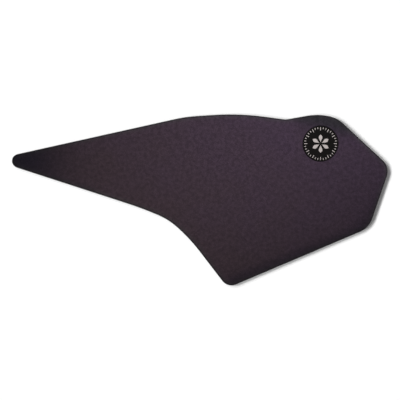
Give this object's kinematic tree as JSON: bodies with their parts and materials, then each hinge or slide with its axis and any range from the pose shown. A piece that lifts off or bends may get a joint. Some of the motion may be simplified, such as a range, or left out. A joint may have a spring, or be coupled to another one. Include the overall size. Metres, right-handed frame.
{
  "type": "tank grip",
  "caption": "Flat rubber grip pad for the side of a motorcycle fuel tank, with a narrow tip, a hollow lower edge and a round badge let into its face.",
  "frame": {"origin": "middle of the outline's box, on the flat adhesive back", "axes": "+X along the length, from the narrow tip towards the blunt end; +Y towards the upper edge, where the badge is; +Z out of the grip face"},
  "size_m": [0.3, 0.1366, 0.0027],
  "materials": {
    "grip_rubber": "matt, with a fine even grain",
    "badge_resin": "smooth satin",
    "badge_print": "smooth light grey print"
  },
  "bodies": {
    "root": {"grip_pad": "grip_rubber", "round_badge": "badge_resin"}
  },
  "joints": []
}
